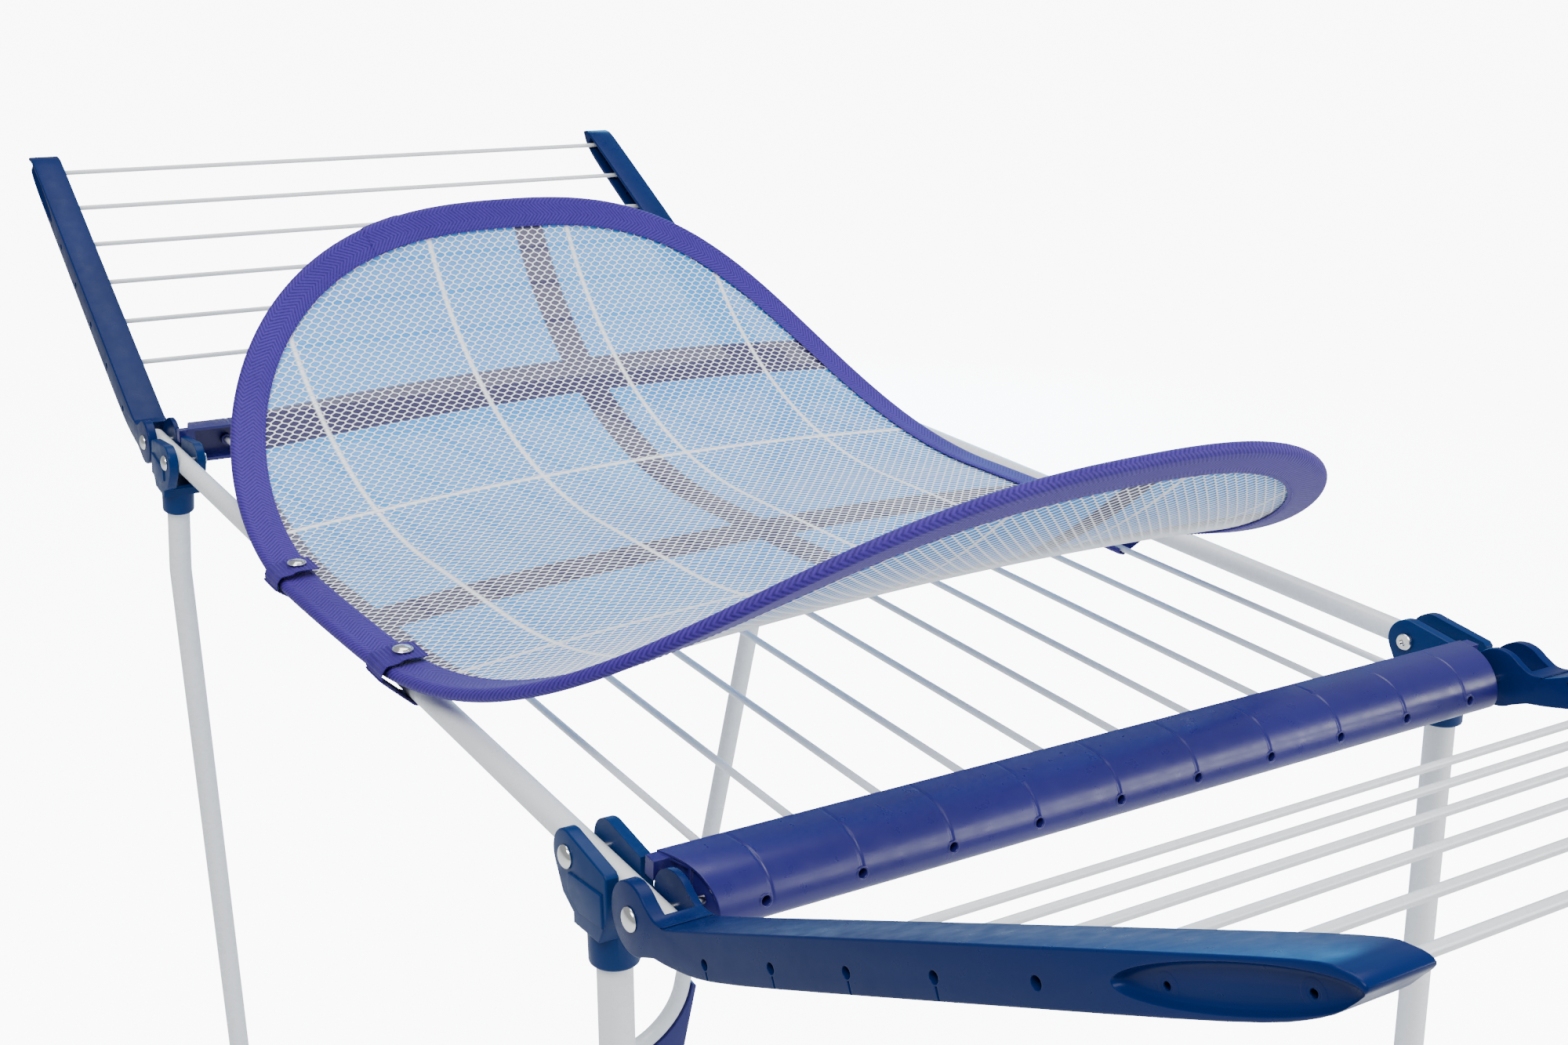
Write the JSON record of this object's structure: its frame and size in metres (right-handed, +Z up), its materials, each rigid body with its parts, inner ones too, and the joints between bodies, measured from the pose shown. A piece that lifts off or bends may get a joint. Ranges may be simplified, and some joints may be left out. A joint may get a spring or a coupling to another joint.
{
  "type": "winged clothes airer with flat-drying net",
  "caption": "Free-standing folding laundry airer with raised wings, U-shaped leg frames and an oval sprung net strapped on top for drying knitwear flat.",
  "frame": {"origin": "on the floor, under the middle of the overall box at rest", "axes": "+X along the rails towards the right wing, +Y across to the far side, +Z up"},
  "size_m": [1.3992, 0.5892, 0.9129],
  "materials": {
    "white_coat": "smooth semi-gloss white powder coat on steel",
    "navy_plastic": "moulded navy plastic with a fine satin grain",
    "blue_plastic": "moulded blue plastic with a fine satin grain",
    "nickel": "polished nickel plate",
    "spring_steel": "drawn spring wire",
    "purple_webbing": "twill-woven polyester tape",
    "net_cloth": "open knitted polyester mesh with woven check"
  },
  "bodies": {
    "frame": {"centre_rod_01": "white_coat", "centre_rod_02": "white_coat", "centre_rod_03": "white_coat", "centre_rod_04": "white_coat", "centre_rod_05": "white_coat", "centre_rod_06": "white_coat", "centre_rod_07": "white_coat", "centre_rod_08": "white_coat", "centre_rod_09": "white_coat", "centre_rod_10": "white_coat", "hoop_binding": "purple_webbing", "hoop_wire": "spring_steel", "left_crossbeam": "navy_plastic", "left_leg_pin_far": "nickel", "left_leg_pin_near": "nickel", "left_wing_pin_far": "nickel", "left_wing_pin_near": "nickel", "net_panel": "net_cloth", "rail_far": "white_coat", "rail_near": "white_coat", "right_crossbeam": "navy_plastic", "right_leg_pin_far": "nickel", "right_leg_pin_near": "nickel", "right_wing_pin_far": "nickel", "right_wing_pin_near": "nickel", "snap_cap_far_left": "nickel", "snap_cap_far_right": "nickel", "snap_cap_near_left": "nickel", "snap_cap_near_right": "nickel", "strap_far_left": "purple_webbing", "strap_far_right": "purple_webbing", "strap_near_left": "purple_webbing", "strap_near_right": "purple_webbing"},
    "left_wing": {"left_wing_arm_far": "navy_plastic", "left_wing_arm_near": "navy_plastic", "left_wing_rod_1": "white_coat", "left_wing_rod_2": "white_coat", "left_wing_rod_3": "white_coat", "left_wing_rod_4": "white_coat", "left_wing_rod_5": "white_coat", "left_wing_rod_6": "white_coat"},
    "right_wing": {"right_wing_arm_far": "navy_plastic", "right_wing_arm_near": "navy_plastic", "right_wing_rod_1": "white_coat", "right_wing_rod_2": "white_coat", "right_wing_rod_3": "white_coat", "right_wing_rod_4": "white_coat", "right_wing_rod_5": "white_coat", "right_wing_rod_6": "white_coat"},
    "left_leg": {"left_foot_far": "navy_plastic", "left_foot_near": "navy_plastic", "left_leg_bracket_far": "blue_plastic", "left_leg_bracket_near": "blue_plastic", "left_leg_tube": "white_coat"},
    "right_leg": {"right_foot_far": "navy_plastic", "right_foot_near": "navy_plastic", "right_leg_bracket_far": "blue_plastic", "right_leg_bracket_near": "blue_plastic", "right_leg_tube": "white_coat"}
  },
  "joints": [
    {"name": "left_wing_hinge", "type": "hinge", "parent": "frame", "child": "left_wing", "pos_m": [-0.3693, 0.00659, 0.732], "axis": [0, 1, 0], "range_deg": [0, 80]},
    {"name": "right_wing_hinge", "type": "hinge", "parent": "frame", "child": "right_wing", "pos_m": [0.3693, 0.00659, 0.732], "axis": [0, -1, 0], "range_deg": [0, 50]},
    {"name": "left_leg_fold", "type": "hinge", "parent": "frame", "child": "left_leg", "pos_m": [-0.3126, 0.00659, 0.732], "axis": [0, -1, 0], "range_deg": [0, 84]},
    {"name": "right_leg_fold", "type": "hinge", "parent": "frame", "child": "right_leg", "pos_m": [0.3126, 0.00659, 0.732], "axis": [0, 1, 0], "range_deg": [0, 65]}
  ]
}
